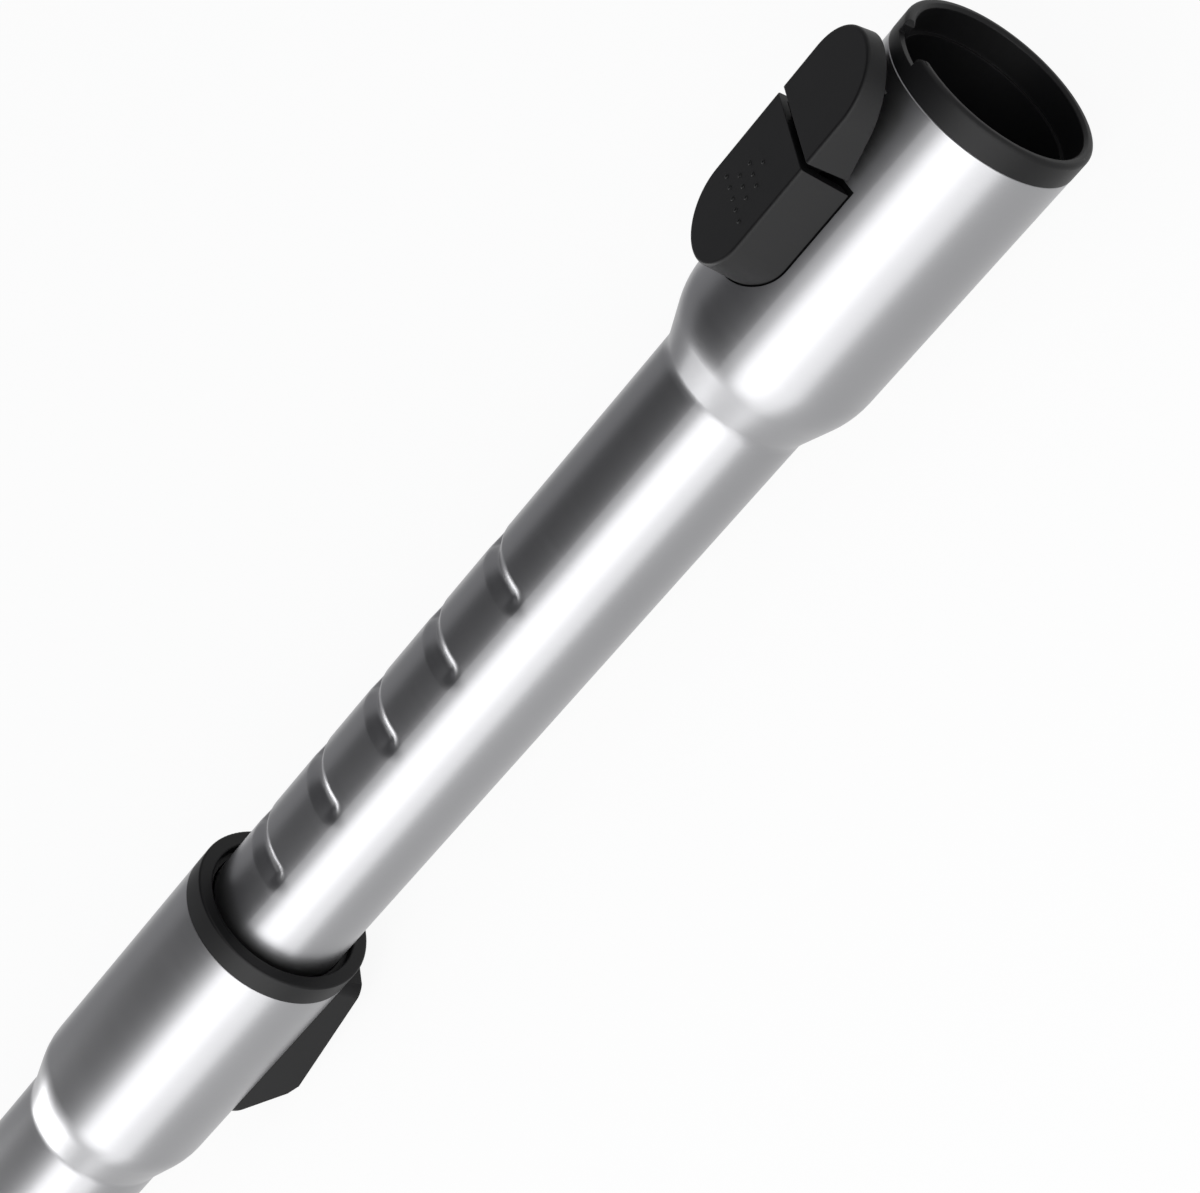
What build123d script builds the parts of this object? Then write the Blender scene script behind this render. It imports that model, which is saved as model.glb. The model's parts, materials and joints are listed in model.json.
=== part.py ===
from build123d import *
import math
import os

# Telescopic steel tube of the 35 mm system. Millimetres. The tube's axis is X, with the socket end
# towards +X. It lies on the crest of its release lever and on its plain end, with the latch on top.

# Rolled steel tubes
WALL = 0.6                 # sheet of both tubes
SPIGOT_OD = 35.0           # plain lower end of the outer tube
OUTER_HEAD_OD = 41.2       # widened upper end of the outer tube
OUTER_LENGTH = 540.0
OUTER_HEAD = 65.4          # straight length of that widened end
OUTER_NECK = 11.7          # length of the cone below it
INNER_OD = 32.0            # sliding inner tube
INNER_HEAD = 62.5          # straight length of the inner tube's widened end, the socket
INNER_NECK = 11.8
NECK_CROWN_R = 22.0        # soft bend where the cone leaves the widened end
NECK_ROOT_R = 7.7          # tighter bend where it meets the narrow tube
EDGE_BREAK = 0.2           # polished cut edge of each head

# Row of dents that the lock drops into
DENT_PITCH = 22.7
DENT_COUNT = 14
DENT_DEPTH = 1.2
DENT_WIDTH = 5.4           # along the tube
DENT_HALF_ANGLE = 28.0     # from the latch side to the middle of each round end
FIRST_DENT = 134.5         # below the socket's steel edge
REST_DENT = 7              # dent under the lock as the tube is shown
LOCK_DEPTH = 45.0          # lock below the outer tube's steel edge

# Clearances
RUN_GAP = 0.3              # between pieces that slide past each other
SEAT_GAP = 0.05            # between pieces that are pushed together
PIN_GAP = 0.05             # running fit of a pin

# Moulded guide collar in the outer tube
COLLAR_HEIGHT = 5.6        # above the steel edge
COLLAR_MOUTH_GAP = 1.3     # open ring round the inner tube
COLLAR_MOUTH_DEPTH = 2.5
RIM_ROUND = 1.0
WIPER_HEIGHT = 2.5
WIPER_GROOVE = 2.2         # groove bottom outside the inner tube
LOWER_GUIDE_LENGTH = 10.0

# Cross-sliding lock ring
LOCK_THICKNESS = 4.8
LOCK_SLOT_GAP = 0.3        # each side of the ring, along the tube
LOCK_RELEASE = 0.5         # travel outward from the riding position
LOCK_DROP = 1.3            # travel inward, into a dent
LOCK_WEB = 1.1             # ring's thinnest section, beside the tooth
TOOTH_TIP = 1.9            # width of the tooth along the tube, at its tip
TOOTH_ROOT = 3.8
TOOTH_HEIGHT = 1.0         # height of its sloping flanks
PUSH_PAD_HALF = 4.0
PUSH_PAD_SINK = 1.1        # pad below the steel's outer surface
PUSH_GAP = 0.1             # between pad and lever
PUSHER_WIDTH = 3.2
LEAF = 0.4                 # bowed return spring between ring and steel
LEAF_WIDTH = 4.0
LEAF_HALF_ANGLE = 35.0

# Release lever
LEVER_LENGTH = 50.4
LEVER_TOP_GAP = 0.4        # below the collar
LEVER_FOOT_RISE = 1.3      # above the steel, beside the collar
LEVER_THUMB_RISE = 6.3     # above the steel, at the thumb end
LEVER_RISE = 35.8          # length over which it rises
LEVER_NOSE = 3.2           # rounded-over length behind the highest line
LEVER_NOSE_DROP = 1.0
LEVER_WALL = 1.6
LEVER_CORNER_R = 3.0
LEVER_PIVOT_DEPTH = 10.0   # below the outer tube's steel edge
LEVER_PIVOT_SINK = 0.8     # below the steel's outer surface
LEVER_PIN_D = 1.8
LEVER_EAR_R = 1.5
LEVER_EAR_INNER = 5.0
LEVER_EAR_OUTER = 7.4
LEVER_FLOOR_WALL = 1.3     # collar wall left under the lever
LEVER_SPRING_DEPTH = 27.0  # below the outer tube's steel edge

# Latch pod, shared by the fixed cover and the button
POD_RISE = 6.85            # flat top above the steel
POD_HALF_WIDTH = 10.9
POD_FOOT_HALF_WIDTH = 11.7
POD_UPPER_END = 1.6        # beyond the socket's steel edge
POD_LOWER_END = 51.0       # below that edge
POD_SPLIT = 19.3           # cover's lower edge, below the steel edge
POD_SPLIT_GAP = 1.5
POD_SPLIT_LEAN = 0.5       # each face of the split falls back by this at its foot
POD_WALL = 1.8
POD_EDGE_R = 0.7
COVER_FOOT_SINK = 1.75     # cover's lower edge at the split, below the steel's crest
COVER_LIFT = 13.2          # slope at which that edge rises from the steel

# Button, its pivot and its hook
BUTTON_PIVOT_DEPTH = 24.0  # below the socket's steel edge
BUTTON_PIVOT_RISE = 2.35   # above the steel
BUTTON_PIN_D = 2.2
BUTTON_EAR_INNER = 4.7
BUTTON_EAR_OUTER = 6.5
BUTTON_EAR_R = 1.9
BUTTON_SKIRT_SINK = 0.1    # skirt below the steel's outer surface
BUTTON_FLOOR_WALL = 1.0    # liner wall left under the button
BUTTON_SPRING_DEPTH = 40.0
ARM_HALF_WIDTH = 4.0
ARM_LIFT = 1.1             # arm above the steel
ARM_THICKNESS = 1.8
HOOK_UPPER = 4.5           # hook's faces, below the socket's steel edge
HOOK_LOWER = 7.5
HOOK_SLOT_GAP = 0.8
PEG_D = 3.0                # pegs that hold the cover
PEG_DEPTH = 14.5
PEG_SPREAD = 7.5

# Moulded liner that makes the socket
SOCKET_BORE = 35.2
SOCKET_BORE_LENGTH = 48.0
SOCKET_ENTRY_D = 36.8      # wider mouth above the ledge
SOCKET_ENTRY_DEPTH = 6.2
SOCKET_STOP_LENGTH = 4.0
SOCKET_STOP_BORE = 32.5
LINER_WALL = 1.4           # round the mouth, inside the steel
LINER_RIM = 5.4            # above the steel edge
LINER_FLUSH = 0.05         # rim proud of the steel
RIM_LEAD = 0.6             # chamfer into the mouth
KEYWAY_WIDTH = 10.0
KEYWAY_SKIN = 0.5          # liner left outside the keyway
KEYWAY_LENGTH = 20.0
NOTCH_DEPTH = 2.4          # dip of the rim over the keyway
NOTCH_FLARE = 0.8

# Sleeve and seal on the inner tube's lower end
END_GUIDE_LENGTH = 46.0
END_GUIDE_LIP = 1.5
END_LAND = 9.0
END_RELIEF = 0.3
END_SEAL_WIDTH = 3.0
END_SEAL_GROOVE = 0.3
STOP_GAP = 1.0             # left before the end sleeve meets the lower guide

# Coil springs
COIL_RADIUS = 2.3
COIL_WIRE = 0.6
COIL_TURNS = 3.5

# Places along the axis and radii that follow from the sizes above
OUTER_EDGE = OUTER_LENGTH
LOCK_X = OUTER_EDGE - LOCK_DEPTH
HEAD_EDGE = LOCK_X + REST_DENT * DENT_PITCH + FIRST_DENT
SPIGOT_R = SPIGOT_OD / 2
OUTER_HEAD_R = OUTER_HEAD_OD / 2
INNER_R = INNER_OD / 2
INNER_HEAD_R = SOCKET_ENTRY_D / 2 + LINER_WALL + SEAT_GAP + WALL
GUIDE_R = INNER_R + RUN_GAP
COLLAR_R = OUTER_HEAD_R - WALL - SEAT_GAP
LINER_R = INNER_HEAD_R - WALL - SEAT_GAP
SLOT_TOP = LOCK_X + LOCK_THICKNESS / 2 + LOCK_SLOT_GAP
SLOT_BOTTOM = LOCK_X - LOCK_THICKNESS / 2 - LOCK_SLOT_GAP
GUIDE_BOTTOM = SLOT_BOTTOM - LOWER_GUIDE_LENGTH
EXTENSION = (DENT_COUNT - 1 - REST_DENT) * DENT_PITCH
END_GUIDE_TOP = GUIDE_BOTTOM - STOP_GAP - EXTENSION
INNER_END = END_GUIDE_TOP - END_GUIDE_LENGTH
PUSH_PAD_HEIGHT = OUTER_HEAD_R - PUSH_PAD_SINK
LEVER_LOW = OUTER_HEAD_R + LEVER_FOOT_RISE
LEVER_HIGH = OUTER_HEAD_R + LEVER_THUMB_RISE
LEVER_END = OUTER_EDGE - LEVER_TOP_GAP - LEVER_LENGTH
LEVER_FLOOR_R = GUIDE_R + LEVER_FLOOR_WALL
LEVER_PIVOT_X = OUTER_EDGE - LEVER_PIVOT_DEPTH
LEVER_PIVOT_HEIGHT = OUTER_HEAD_R - LEVER_PIVOT_SINK
POD_HEIGHT = INNER_HEAD_R + POD_RISE
BUTTON_PIVOT_X = HEAD_EDGE - BUTTON_PIVOT_DEPTH
BUTTON_PIVOT_HEIGHT = INNER_HEAD_R + BUTTON_PIVOT_RISE
KEYWAY_BOTTOM = LINER_R - KEYWAY_SKIN
BUTTON_FLOOR_R = SOCKET_BORE / 2 + BUTTON_FLOOR_WALL
COVER_EDGE = HEAD_EDGE - POD_SPLIT
BUTTON_EDGE = COVER_EDGE - POD_SPLIT_GAP
POD_DRAFT = math.degrees(math.atan((POD_FOOT_HALF_WIDTH - POD_HALF_WIDTH) / (POD_HEIGHT - INNER_R)))
FAR = 2 * OUTER_HEAD_OD


def turned(*points):
    """Solid of revolution about the tube's axis, from (place, radius) points."""
    return revolve(Plane.XZ * make_face(Polyline(*points, close=True)), Axis.X)


def rod(start, end, radius):
    return turned((start, 0), (start, radius), (end, radius), (end, 0))


def bush(start, end, outer, inner):
    return turned((start, inner), (start, outer), (end, outer), (end, inner))


def block(x_range, y_half, z_range):
    """Box centred across the tube."""
    size = (x_range[1] - x_range[0], 2 * y_half, z_range[1] - z_range[0])
    return Pos(sum(x_range) / 2, 0, sum(z_range) / 2) * Box(*size)


def across(x, z, radius, y_range):
    """Round bar or hole lying across the tube."""
    middle = sum(y_range) / 2
    return Pos(x, middle, z) * Rot(90, 0, 0) * Cylinder(radius, y_range[1] - y_range[0])


def prism(*points):
    """Solid across the whole width, from the (place, height) points of its side view."""
    return extrude(Plane.XZ * make_face(Polyline(*points, close=True)), FAR, both=True)


def both_sides(shape):
    return shape + mirror(shape, Plane.XZ)


def tube_surface(edge, end, head, neck, head_r, body_r, inset):
    """Outside of a tube with a widened head, or its inside when inset by the wall."""
    crown = edge - head
    root = crown - neck
    line = FilletPolyline(
        (edge, head_r - inset),
        (crown, head_r - inset),
        (root, body_r - inset),
        (end, body_r - inset),
        radius=[NECK_CROWN_R - inset, NECK_ROOT_R + inset],
    )
    closing = Polyline((end, body_r - inset), (end, 0), (edge, 0), (edge, head_r - inset))
    return revolve(Plane.XZ * make_face(line + closing), Axis.X)


def rolled_tube(edge, end, head, neck, head_r, body_r):
    """Thin tube with a widened head and a broken corner at the head's cut edge."""
    outside = tube_surface(edge, end, head, neck, head_r, body_r, 0)
    inside = tube_surface(edge + WALL, end - WALL, head + WALL, neck, head_r, body_r, WALL)
    corner = outside.edges().filter_by(GeomType.CIRCLE).sort_by(Axis.X)[-1]
    return chamfer(corner, EDGE_BREAK) - inside


def dent():
    """Round-ended bar, bent round the tube, that presses one dent over the start of the axis."""
    half = DENT_WIDTH / 2
    radius = (half**2 + DENT_DEPTH**2) / (2 * DENT_DEPTH)
    centre = INNER_R - DENT_DEPTH + radius
    section = Plane.XZ * Pos(0, centre) * Circle(radius)
    bar = Rot(-DENT_HALF_ANGLE, 0, 0) * revolve(section, Axis.X, 2 * DENT_HALF_ANGLE)
    on_face = (Align.CENTER, Align.MIN, Align.CENTER)
    right = Pos(0, 0, centre) * Sphere(radius, arc_size3=180, align=on_face)
    left = mirror(right, Plane.XZ)
    return bar + [Rot(-DENT_HALF_ANGLE, 0, 0) * right, Rot(DENT_HALF_ANGLE, 0, 0) * left]


def dent_back():
    """Steel pushed in behind one dent, one wall thick, over the start of the axis."""
    inside = INNER_R - WALL
    half = DENT_WIDTH / 2 + WALL
    crest = INNER_R - DENT_DEPTH - WALL
    flank = Polyline((-half, inside + WALL / 2), (-half, inside), (-half + DENT_DEPTH, crest),
                     (half - DENT_DEPTH, crest), (half, inside), (half, inside + WALL / 2), close=True)
    turn = DENT_HALF_ANGLE + math.degrees(half / INNER_R)
    return Rot(-turn, 0, 0) * revolve(Plane.XZ * make_face(flank), Axis.X, 2 * turn)


def pod_body(inset):
    """Drafted long round-ended body of the latch, or its hollow when inset by the wall."""
    length = POD_UPPER_END + POD_LOWER_END
    middle = HEAD_EDGE + POD_UPPER_END - length / 2
    top = Plane((middle, 0, POD_HEIGHT - inset), x_dir=(1, 0, 0), z_dir=(0, 0, -1))
    plan = SlotOverall(length - 2 * inset, 2 * (POD_HALF_WIDTH - inset))
    return extrude(top * plan, POD_HEIGHT - INNER_R / 2, taper=-POD_DRAFT)


def pod_shell():
    """Hollow pod with a softened top edge."""
    body = pod_body(0)
    body = fillet(body.faces().sort_by(Axis.Z)[-1].edges(), POD_EDGE_R)
    return body - pod_body(POD_WALL)


def coil(x, floor, roof):
    """Compression spring standing across the tube on its floor."""
    rise = roof - floor - COIL_WIRE
    path = Helix(rise / COIL_TURNS, rise, COIL_RADIUS)
    wire = sweep(Plane(path @ 0, z_dir=path % 0) * Circle(COIL_WIRE / 2), path=path, is_frenet=True)
    return Pos(x, 0, floor + COIL_WIRE / 2) * wire


def below(shape):
    """Turns a piece made on the latch side over to the lever side."""
    return Rot(180, 0, 0) * shape


def lever_room():
    """Room under the whole lever, down to the wall that is left round the inner tube."""
    start = LEVER_END - RUN_GAP
    room = block((start, OUTER_EDGE), POD_FOOT_HALF_WIDTH + RUN_GAP, (INNER_R / 2, FAR))
    return below(room - rod(start - FAR, OUTER_EDGE + FAR, LEVER_FLOOR_R))


def lever_height(depth):
    """Height of the lever's top line at a depth below the steel edge."""
    return LEVER_LOW + (LEVER_HIGH - LEVER_LOW) * (depth - LEVER_TOP_GAP) / LEVER_RISE


def outer_tube():
    tube = rolled_tube(OUTER_EDGE, 0, OUTER_HEAD, OUTER_NECK, OUTER_HEAD_R, SPIGOT_R)
    window_x = (LEVER_END - RUN_GAP, OUTER_EDGE + FAR)
    window = block(window_x, POD_FOOT_HALF_WIDTH + RUN_GAP, (INNER_R / 2, FAR))
    window = fillet(window.edges().filter_by(Axis.Z).group_by(Axis.X)[0], LEVER_CORNER_R)
    return tube - below(window)


def guide_collar():
    top = OUTER_EDGE + COLLAR_HEIGHT
    mouth = top - COLLAR_MOUTH_DEPTH
    seat = mouth - WIPER_HEIGHT
    collar = turned(
        (SLOT_TOP, GUIDE_R),
        (SLOT_TOP, COLLAR_R),
        (OUTER_EDGE, COLLAR_R),
        (OUTER_EDGE, OUTER_HEAD_R),
        (top, OUTER_HEAD_R),
        (top, INNER_R + COLLAR_MOUTH_GAP),
        (mouth, INNER_R + COLLAR_MOUTH_GAP),
        (mouth, INNER_R + WIPER_GROOVE),
        (seat, INNER_R + WIPER_GROOVE),
        (seat, GUIDE_R),
    )
    upper = collar.edges().filter_by(GeomType.CIRCLE).group_by(Axis.X)[-1]
    collar = fillet(upper, RIM_ROUND / 2)
    ear_foot = (LEVER_PIVOT_X - LEVER_EAR_R, LEVER_PIVOT_X + LEVER_EAR_R)
    ear_middle = (LEVER_EAR_INNER + LEVER_EAR_OUTER) / 2
    ear_half = (LEVER_EAR_OUTER - LEVER_EAR_INNER) / 2
    ear = Pos(0, ear_middle, 0) * block(ear_foot, ear_half, (GUIDE_R, LEVER_PIVOT_HEIGHT))
    ear = ear + across(LEVER_PIVOT_X, LEVER_PIVOT_HEIGHT, LEVER_EAR_R, (LEVER_EAR_INNER, LEVER_EAR_OUTER))
    ear = ear - rod(SLOT_TOP, OUTER_EDGE, GUIDE_R + SEAT_GAP)
    hole = across(LEVER_PIVOT_X, LEVER_PIVOT_HEIGHT, LEVER_PIN_D / 2 + PIN_GAP, (-FAR, FAR))
    return collar - lever_room() + below(both_sides(ear)) - below(hole)


def dust_wiper():
    top = OUTER_EDGE + COLLAR_HEIGHT - COLLAR_MOUTH_DEPTH - SEAT_GAP
    bottom = top - WIPER_HEIGHT + 2 * SEAT_GAP
    return bush(bottom, top, INNER_R + WIPER_GROOVE - SEAT_GAP, GUIDE_R)


def lower_guide():
    sleeve = bush(GUIDE_BOTTOM, SLOT_BOTTOM, COLLAR_R, GUIDE_R)
    return sleeve - lever_room()


def lock_ring():
    low = LOCK_X - LOCK_THICKNESS / 2
    high = LOCK_X + LOCK_THICKNESS / 2
    tooth_side = INNER_R + LOCK_DROP + RUN_GAP
    lever_side = INNER_R + LOCK_RELEASE + RUN_GAP
    hole_r = (tooth_side + lever_side) / 2
    hole = Pos(0, 0, (tooth_side - lever_side) / 2) * rod(low - FAR, high + FAR, hole_r)
    outer_far = tooth_side + LOCK_WEB
    outer_near = OUTER_HEAD_R - WALL - LOCK_DROP - RUN_GAP
    body = Pos(0, 0, (outer_far - outer_near) / 2) * rod(low, high, (outer_far + outer_near) / 2)
    pad = block((low, high), PUSH_PAD_HALF, (INNER_R, PUSH_PAD_HEIGHT))
    ring = body + below(pad) - hole
    flank = GUIDE_R + TOOTH_HEIGHT
    profile = Polyline((LOCK_X - TOOTH_TIP / 2, GUIDE_R), (LOCK_X - TOOTH_ROOT / 2, flank),
                       (LOCK_X - TOOTH_ROOT / 2, outer_far), (LOCK_X + TOOTH_ROOT / 2, outer_far),
                       (LOCK_X + TOOTH_ROOT / 2, flank), (LOCK_X + TOOTH_TIP / 2, GUIDE_R), close=True)
    tooth = revolve(Plane.XZ * make_face(profile), Axis.X, 2 * DENT_HALF_ANGLE)
    return ring + (Rot(-DENT_HALF_ANGLE, 0, 0) * tooth & body)


def lock_spring():
    outer = OUTER_HEAD_R - WALL - SEAT_GAP
    strip = Plane.XZ * Pos(LOCK_X, outer - LEAF / 2) * Rectangle(LEAF_WIDTH, LEAF)
    return Rot(-LEAF_HALF_ANGLE, 0, 0) * revolve(strip, Axis.X, 2 * LEAF_HALF_ANGLE)


def lever_profile(inset):
    """Side view of the lever: low by the collar, highest at the thumb end, steep end face."""
    start = OUTER_EDGE - LEVER_TOP_GAP - inset
    peak = OUTER_EDGE - LEVER_TOP_GAP - LEVER_RISE
    nose = peak - LEVER_NOSE + inset
    end = LEVER_END + 1.4 * inset
    return make_face(Polyline(
        (start, INNER_R / 2),
        (start, LEVER_LOW - inset),
        (peak, LEVER_HIGH - inset),
        (nose, LEVER_HIGH - LEVER_NOSE_DROP - inset),
        (end, OUTER_HEAD_R * math.cos(math.asin(POD_FOOT_HALF_WIDTH / OUTER_HEAD_R))),
        (end, INNER_R / 2),
        close=True,
    ))


def lever_body(inset):
    """Lever as a block with drafted sides, or its hollow when inset by the wall."""
    length = LEVER_LENGTH - 2 * inset
    middle = OUTER_EDGE - LEVER_TOP_GAP - LEVER_LENGTH / 2
    top = Plane((middle, 0, LEVER_HIGH - inset), x_dir=(1, 0, 0), z_dir=(0, 0, -1))
    plan = RectangleRounded(length, 2 * (POD_HALF_WIDTH - inset), LEVER_CORNER_R - inset)
    sides = extrude(top * plan, LEVER_HIGH - INNER_R / 2, taper=-POD_DRAFT)
    return sides & extrude(Plane.XZ * lever_profile(inset), FAR, both=True)


def release_lever():
    shell = lever_body(0) - lever_body(LEVER_WALL)
    bore_r = OUTER_HEAD_R - WALL
    shell = shell - rod(0, OUTER_EDGE + FAR, bore_r)
    boss_range = (LEVER_EAR_OUTER + RUN_GAP, POD_HALF_WIDTH - LEVER_WALL / 2)
    boss = across(LEVER_PIVOT_X, LEVER_PIVOT_HEIGHT, LEVER_EAR_R, boss_range)
    web_x = (LEVER_PIVOT_X - LEVER_EAR_R, LEVER_PIVOT_X + LEVER_EAR_R)
    web = block(web_x, (boss_range[1] - boss_range[0]) / 2, (LEVER_PIVOT_HEIGHT, LEVER_LOW))
    boss = boss + Pos(0, sum(boss_range) / 2, 0) * web
    pusher = block((LOCK_X - PUSHER_WIDTH / 2, LOCK_X + PUSHER_WIDTH / 2), PUSH_PAD_HALF - RUN_GAP,
                   (PUSH_PAD_HEIGHT + PUSH_GAP, FAR))
    hole = across(LEVER_PIVOT_X, LEVER_PIVOT_HEIGHT, LEVER_PIN_D / 2 + PIN_GAP, (-FAR, FAR))
    inner = both_sides(boss) + (pusher & lever_body(LEVER_WALL / 2))
    return below(shell + inner - (hole & lever_body(LEVER_WALL / 2)))


def lever_pin():
    half = POD_HALF_WIDTH - LEVER_WALL
    return below(across(LEVER_PIVOT_X, LEVER_PIVOT_HEIGHT, LEVER_PIN_D / 2, (-half, half)))


def lever_spring():
    roof = lever_height(LEVER_SPRING_DEPTH - COIL_RADIUS - COIL_WIRE) - LEVER_WALL
    return below(coil(OUTER_EDGE - LEVER_SPRING_DEPTH, LEVER_FLOOR_R + SEAT_GAP, roof - SEAT_GAP))


def inner_tube():
    tube = rolled_tube(HEAD_EDGE, INNER_END, INNER_HEAD, INNER_NECK, INNER_HEAD_R, INNER_R)
    steps = [Pos(HEAD_EDGE - FIRST_DENT - k * DENT_PITCH, 0, 0) for k in range(DENT_COUNT)]
    tube = tube + [step * dent_back() for step in steps]
    tube = tube - [step * dent() for step in steps]
    upright = block((BUTTON_EDGE + POD_SPLIT_GAP / 2 - FAR, BUTTON_EDGE + POD_SPLIT_GAP / 2), FAR, (0, FAR))
    window = pod_body(-RUN_GAP) & upright
    hook_slot = block((HEAD_EDGE - HOOK_LOWER - HOOK_SLOT_GAP, HEAD_EDGE - HOOK_UPPER + HOOK_SLOT_GAP),
                      ARM_HALF_WIDTH + HOOK_SLOT_GAP, (INNER_R / 2, FAR))
    peg = Pos(HEAD_EDGE - PEG_DEPTH, PEG_SPREAD, INNER_HEAD_R) * Cylinder(PEG_D / 2 + SEAT_GAP, INNER_R)
    return tube - window - hook_slot - both_sides(peg)


def socket_liner():
    top = HEAD_EDGE + LINER_RIM
    ledge = top - SOCKET_ENTRY_DEPTH
    stop = ledge - SOCKET_BORE_LENGTH
    end = stop - SOCKET_STOP_LENGTH
    rim_r = INNER_HEAD_R + LINER_FLUSH
    liner = turned(
        (end, SOCKET_STOP_BORE / 2),
        (end, LINER_R),
        (HEAD_EDGE, LINER_R),
        (HEAD_EDGE, rim_r),
        (top, rim_r),
        (top, SOCKET_ENTRY_D / 2),
        (ledge, SOCKET_ENTRY_D / 2),
        (ledge, SOCKET_BORE / 2),
        (stop, SOCKET_BORE / 2),
        (stop, SOCKET_STOP_BORE / 2),
    )
    rims = liner.edges().filter_by(GeomType.CIRCLE).group_by(Axis.X)[-1].sort_by(SortBy.RADIUS)
    liner = fillet(rims[-1], RIM_ROUND)
    rims = liner.edges().filter_by(GeomType.CIRCLE).group_by(Axis.X)[-1].sort_by(SortBy.RADIUS)
    liner = chamfer(rims[0], RIM_LEAD)
    keyway = block((top - KEYWAY_LENGTH, top + RIM_ROUND), KEYWAY_WIDTH / 2, (INNER_R / 2, FAR))
    keyway = keyway & rod(top - KEYWAY_LENGTH, top + RIM_ROUND, KEYWAY_BOTTOM)
    half = KEYWAY_WIDTH / 2
    dip = Polyline((top - NOTCH_DEPTH, -half), (top - NOTCH_FLARE, -half),
                   (top + NOTCH_FLARE, -half - 2 * NOTCH_FLARE), (top + NOTCH_FLARE, half + 2 * NOTCH_FLARE),
                   (top - NOTCH_FLARE, half), (top - NOTCH_DEPTH, half), close=True)
    notch = extrude(make_face(dip), FAR)
    hook_slot = block((HEAD_EDGE - HOOK_LOWER - HOOK_SLOT_GAP, HEAD_EDGE - HOOK_UPPER + HOOK_SLOT_GAP),
                      ARM_HALF_WIDTH + HOOK_SLOT_GAP, (INNER_R / 2, FAR))
    upright = block((BUTTON_EDGE + POD_SPLIT_GAP / 2 - FAR, BUTTON_EDGE + POD_SPLIT_GAP / 2), FAR, (0, FAR))
    pocket = (pod_body(-RUN_GAP) & upright) - rod(end, top, BUTTON_FLOOR_R)
    peg = Pos(HEAD_EDGE - PEG_DEPTH, PEG_SPREAD, INNER_HEAD_R) * Cylinder(PEG_D / 2 + SEAT_GAP, INNER_R)
    peg = peg - rod(end, top, BUTTON_FLOOR_R)
    return liner - keyway - notch - hook_slot - pocket - both_sides(peg)


def latch_cover():
    foot = INNER_HEAD_R - COVER_FOOT_SINK
    lifted = foot + FAR * math.tan(math.radians(COVER_LIFT))
    upper = prism((COVER_EDGE + POD_SPLIT_LEAN, foot), (COVER_EDGE, POD_HEIGHT), (COVER_EDGE, FAR),
                  (COVER_EDGE + FAR, FAR), (COVER_EDGE + FAR, lifted))
    shell = pod_shell() & upper
    shell = shell - rod(0, HEAD_EDGE + FAR, INNER_HEAD_R + LINER_FLUSH + SEAT_GAP)
    ear_middle = (BUTTON_EAR_INNER + BUTTON_EAR_OUTER) / 2
    ear_half = (BUTTON_EAR_OUTER - BUTTON_EAR_INNER) / 2
    ear_low = BUTTON_PIVOT_HEIGHT - BUTTON_EAR_R
    ear = block((BUTTON_PIVOT_X, HEAD_EDGE - HOOK_LOWER), ear_half,
                (ear_low, BUTTON_PIVOT_HEIGHT + BUTTON_EAR_R))
    hanger = block((COVER_EDGE, HEAD_EDGE - HOOK_LOWER), ear_half,
                   (BUTTON_PIVOT_HEIGHT, POD_HEIGHT - POD_WALL / 2))
    ear = Pos(0, ear_middle, 0) * (ear + hanger)
    ear_range = (BUTTON_EAR_INNER, BUTTON_EAR_OUTER)
    ear = ear + across(BUTTON_PIVOT_X, BUTTON_PIVOT_HEIGHT, BUTTON_EAR_R, ear_range)
    peg_foot = BUTTON_FLOOR_R + SEAT_GAP
    peg = Pos(HEAD_EDGE - PEG_DEPTH, PEG_SPREAD, 0) * Cylinder(PEG_D / 2, POD_HEIGHT - POD_WALL / 2,
                                                                align=(Align.CENTER, Align.CENTER, Align.MIN))
    peg = peg - rod(0, HEAD_EDGE + FAR, peg_foot)
    hole = across(BUTTON_PIVOT_X, BUTTON_PIVOT_HEIGHT, BUTTON_PIN_D / 2 + PIN_GAP, (-FAR, FAR))
    return shell + both_sides(ear) + both_sides(peg) - hole


def latch_button():
    lower = prism((BUTTON_EDGE - POD_SPLIT_LEAN, INNER_R), (BUTTON_EDGE, POD_HEIGHT), (BUTTON_EDGE, FAR),
                  (BUTTON_EDGE - FAR, FAR), (BUTTON_EDGE - FAR, INNER_R))
    shell = pod_shell() & lower
    shell = shell - rod(0, HEAD_EDGE, INNER_HEAD_R - BUTTON_SKIRT_SINK)
    boss_range = (BUTTON_EAR_OUTER + RUN_GAP, POD_HALF_WIDTH - POD_WALL / 2)
    boss = across(BUTTON_PIVOT_X, BUTTON_PIVOT_HEIGHT, BUTTON_EAR_R, boss_range)
    arm_low = INNER_HEAD_R + ARM_LIFT
    arm_high = arm_low + ARM_THICKNESS
    hook_top = HEAD_EDGE - HOOK_UPPER
    hook_low = HEAD_EDGE - HOOK_LOWER
    arm = block((BUTTON_PIVOT_X, hook_top), ARM_HALF_WIDTH, (arm_low, arm_high))
    root_x = (BUTTON_PIVOT_X - 2 * BUTTON_EAR_R, BUTTON_PIVOT_X + BUTTON_EAR_R)
    root = block(root_x, ARM_HALF_WIDTH, (arm_low, POD_HEIGHT - POD_WALL / 2))
    tip = (SOCKET_ENTRY_D / 2 + KEYWAY_BOTTOM) / 2
    hook = block((hook_low, hook_top), ARM_HALF_WIDTH, (INNER_R / 2, arm_high))
    hook = hook - rod(hook_low - FAR, hook_top + FAR, tip)
    hole = across(BUTTON_PIVOT_X, BUTTON_PIVOT_HEIGHT, BUTTON_PIN_D / 2 + PIN_GAP,
                  (-boss_range[1], boss_range[1]))
    return shell + both_sides(boss) + arm + root + hook - hole


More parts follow.
